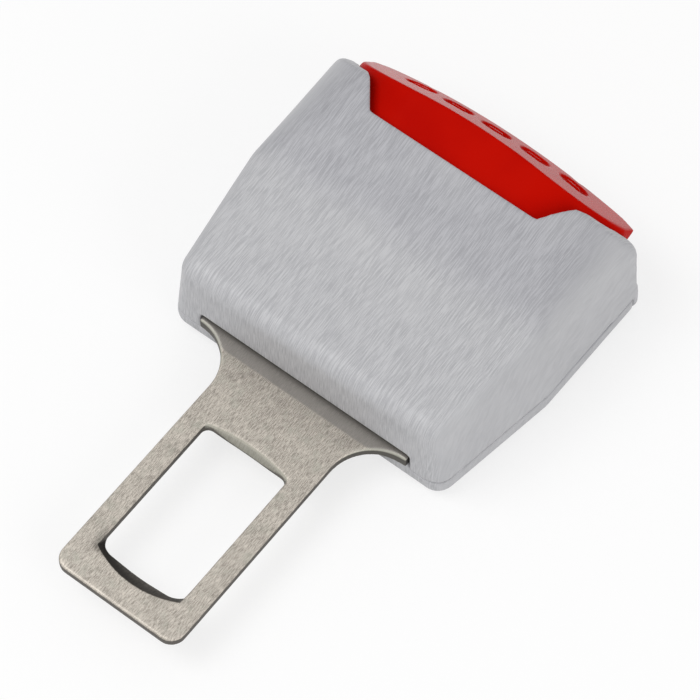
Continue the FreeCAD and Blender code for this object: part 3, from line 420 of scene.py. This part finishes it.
def reshape(piece, moveOf):
    # moves each point, told in millimetres from the slot
    mesh = piece.data
    points = np.empty(len(mesh.vertices) * 3)
    mesh.vertices.foreach_get("co", points)
    points = (points.reshape(-1, 3) - np.array(slotPlace)) / mm
    points = moveOf(points) * mm + np.array(slotPlace)
    mesh.vertices.foreach_set("co", points.ravel())
    mesh.update()


casing = {"grain": 0.25, "keep": 0.35, "rounds": 12, "edge": 0.3, "crease": 21.4, "creaseReach": 4.5,
          "shoulder": (19.4, 40.7), "shoulderReach": 3.2, "corner": (26.0, 45.6), "cornerReach": 4.5,
          "cornerRounds": 30, "cornerPull": 1.6, "cornerMost": 0.9, "cornerAbove": -1,
          "creaseAbove": 2, "shoulderAbove": 11, "pull": 0.9, "most": 0.95}


def casingWeight(points):
    x, y, z = points.T
    across = np.abs(x)
    crease = eased(np.abs(y - casing["crease"]), casing["creaseReach"]) * (z > casing["creaseAbove"])
    shoulder = eased(np.hypot(across - casing["shoulder"][0], y - casing["shoulder"][1]),
                     casing["shoulderReach"]) * (z > casing["shoulderAbove"])
    return np.clip(casing["edge"] + casing["pull"] * np.maximum(crease, shoulder), 0, casing["most"])


def cornerWeight(points):
    x, y, z = points.T
    corner = eased(np.hypot(np.abs(x) - casing["corner"][0], y - casing["corner"][1]), casing["cornerReach"])
    return np.clip(casing["cornerPull"] * corner * (z > casing["cornerAbove"]), 0, casing["cornerMost"])


shell = standIn("front_shell", "front_moulding")
voxelled(shell, casing["grain"])
relax(shell, casing["rounds"], casingWeight)
relax(shell, casing["cornerRounds"], cornerWeight)
lighten(shell, casing["keep"])
hand(shell, "front_shell")
cover = standIn("back_cover", "back_moulding")
voxelled(cover, casing["grain"])
relax(cover, casing["rounds"], lambda points: np.full(len(points), casing["edge"]))
lighten(cover, casing["keep"])
hand(cover, "back_cover")
print("casing ready", len(shell.data.polygons), len(cover.data.polygons))

button = {"grain": 0.2, "keep": 0.45, "rounds": 16, "edge": 0.16, "lip": (23.6, 45.0), "lipReach": 3.4,
          "pull": 0.9, "most": 0.95}


def buttonWeight(points):
    x, y = points.T[:2]
    lip = eased(np.hypot(np.abs(x) - button["lip"][0], y - button["lip"][1]), button["lipReach"])
    return np.clip(button["edge"] + button["pull"] * lip, 0, button["most"])


press = standIn("press_button", "red_button")
voxelled(press, button["grain"])
relax(press, button["rounds"], buttonWeight)
lighten(press, button["keep"])
hand(press, "press_button")
print("button ready", len(press.data.polygons))

blade = {"grain": 0.17, "keep": 0.4, "rounds": 5, "edge": 0.07, "dish": (-12.2, 1.9, 8.6),
         "pull": 1.4, "most": 0.9, "thinner": 0.3, "thinReach": 1.5}


def bladeWeight(points):
    x, y = points.T[:2]
    middle, reach, half = blade["dish"]
    dish = eased(np.abs(y - middle), reach) * (np.abs(x) < half)
    return np.clip(blade["edge"] + blade["pull"] * dish, 0, blade["most"])


def thinned(points):
    # the bare blade is a little thinner than the plate inside the casing
    outside = eased(points[:, 1] + blade["thinReach"], blade["thinReach"])
    points[:, 2] *= 1 - blade["thinner"] * outside
    return points


tongue = standIn("tongue_plate", "steel_tongue")
voxelled(tongue, blade["grain"])
relax(tongue, blade["rounds"], bladeWeight)
reshape(tongue, thinned)
lighten(tongue, blade["keep"])
hand(tongue, "tongue_plate")
print("tongue ready", len(tongue.data.polygons))

inner = {"bevel": 0.15, "bevelSegments": 2, "bevelAngle": 40, "smoothAngle": 32}
pressedBy = {"button_spring_left": "button_press", "button_spring_right": "button_press",
             "ejector_spring": "ejector_push"}


def shorten(piece, jointName):
    # works out how much a spring would shorten by its joint's travel, but does not apply it; the piece only
    # gets its own mesh
    joint = next(joint for joint in frame["record"]["behaviour"]["joints"] if joint["name"] == jointName)
    way = np.array(joint["axis"])
    along = np.array([point.co for point in piece.data.vertices]) @ way
    length = along.max() - along.min()
    (length - joint["range_m"][1]) / length
    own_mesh(piece)


shown = {"front_shell", "back_cover", "press_button", "tongue_plate"}
for node in sorted(set(nodes) - shown):
    part = standIn(node, node + "_piece")
    if "spring" not in node and "rivets" not in node:
        bevel = part.modifiers.new("brokenEdges", "BEVEL")
        bevel.width = inner["bevel"] * mm
        bevel.segments = inner["bevelSegments"]
        bevel.limit_method = "ANGLE"
        bevel.angle_limit = math.radians(inner["bevelAngle"])
        settle(part)
    hand(part, node, math.radians(inner["smoothAngle"]))
    if node in pressedBy:
        shorten(part, pressedBy[node])
print("inside ready")

# Floor, lamps and camera

studio = {"floorSize": 4.0, "floorColour": (0.95, 0.95, 0.95, 1), "floorWhite": 0.7, "worldLevel": 0.6,
          "lampSize": 0.5, "white": (1, 1, 1, 1),
          "lamps": {"key": ((-0.35, -0.3, 0.75), 2.9), "fill": ((0.7, -0.15, 0.4), 1.7)}}


def floor():
    # the floor lies under the part, whitened a little for the camera, and keeps the shadow
    mesh = bpy.data.meshes.new("floor")
    half = studio["floorSize"] / 2
    corners = [(-half, -half, 0), (half, -half, 0), (half, half, 0), (-half, half, 0)]
    mesh.from_pydata(corners, [], [(0, 1, 2, 3)])
    plane = bpy.data.objects.new("floor", mesh)
    bpy.context.scene.collection.objects.link(plane)
    paint = Paint("paleFloor", Base_Color=studio["floorColour"], Roughness=0.9, Specular_IOR_Level=0.0)
    plain = Wire(paint, paint.surface.outputs[0])
    glow = paint.node("ShaderNodeEmission", None, {"Color": studio["white"], "Strength": 1.0})
    seen = paint.node("ShaderNodeLightPath", out="Is Camera Ray")
    blend = paint.node("ShaderNodeMixShader", None, {0: seen * studio["floorWhite"], 1: plain, 2: glow})
    paint.feed(paint.tree.nodes["Material Output"].inputs[0], blend)
    mesh.materials.append(paint.material)


def lamp(name, place, power):
    light = bpy.data.lights.new(name, "AREA")
    light.energy, light.size = power, studio["lampSize"]
    holder = bpy.data.objects.new(name, light)
    holder.location = place
    holder.rotation_euler = (-Vector(place)).to_track_quat("-Z", "Y").to_euler()
    bpy.context.scene.collection.objects.link(holder)


def room():
    # plain light all round, white to the camera and in reflections
    world = bpy.data.worlds.new("room")
    world.use_nodes = True
    sky = Tree(world.node_tree)
    background = sky.tree.nodes["Background"].inputs
    white = sky.node("ShaderNodeLightPath", out="Is Camera Ray")
    for kind in ("Is Glossy Ray", "Is Transmission Ray"):
        white = white.maths("MAXIMUM", white, sky.node("ShaderNodeLightPath", out=kind))
    level = sky.node("ShaderNodeMapRange", None, {"Value": white, "To Min": studio["worldLevel"]})
    sky.feed(background["Color"], studio["white"])
    sky.feed(background["Strength"], level)
    bpy.context.scene.world = world


floor()
for lampName, (lampPlace, lampPower) in studio["lamps"].items():
    lamp(lampName + "Lamp", lampPlace, lampPower)
room()

# Angle, distance and roll, solved from the outline of the part in the photograph
photograph = {"azimuth": 37.483, "elevation": 60.994, "roll": 0.245, "lens": 205.7,
              "across": 6.658, "up": 5.369, "distance": 573.25, "sensor": 36, "clip": (0.01, 10)}


def camera():
    azimuth, elevation, roll = (math.radians(photograph[turn]) for turn in ("azimuth", "elevation", "roll"))
    back = Vector((math.sin(azimuth) * math.cos(elevation), -math.cos(azimuth) * math.cos(elevation),
                   math.sin(elevation)))
    level = Vector((math.cos(azimuth), math.sin(azimuth), 0))
    steep = back.cross(level)
    right = level * math.cos(roll) + steep * math.sin(roll)
    up = steep * math.cos(roll) - level * math.sin(roll)
    data = bpy.data.cameras.new("camera")
    data.lens, data.sensor_width = photograph["lens"], photograph["sensor"]
    data.sensor_fit = "HORIZONTAL"
    data.clip_start, data.clip_end = photograph["clip"]
    holder = bpy.data.objects.new("camera", data)
    place = (right * photograph["across"] + up * photograph["up"] + back * photograph["distance"]) * mm
    turn = Matrix((right, up, back)).transposed().to_4x4()
    holder.matrix_world = Matrix.Translation(slotPlace + place) @ turn
    bpy.context.scene.collection.objects.link(holder)
    bpy.context.scene.camera = holder


camera()
bpy.context.scene.view_settings.view_transform = "Standard"
print("studio ready")
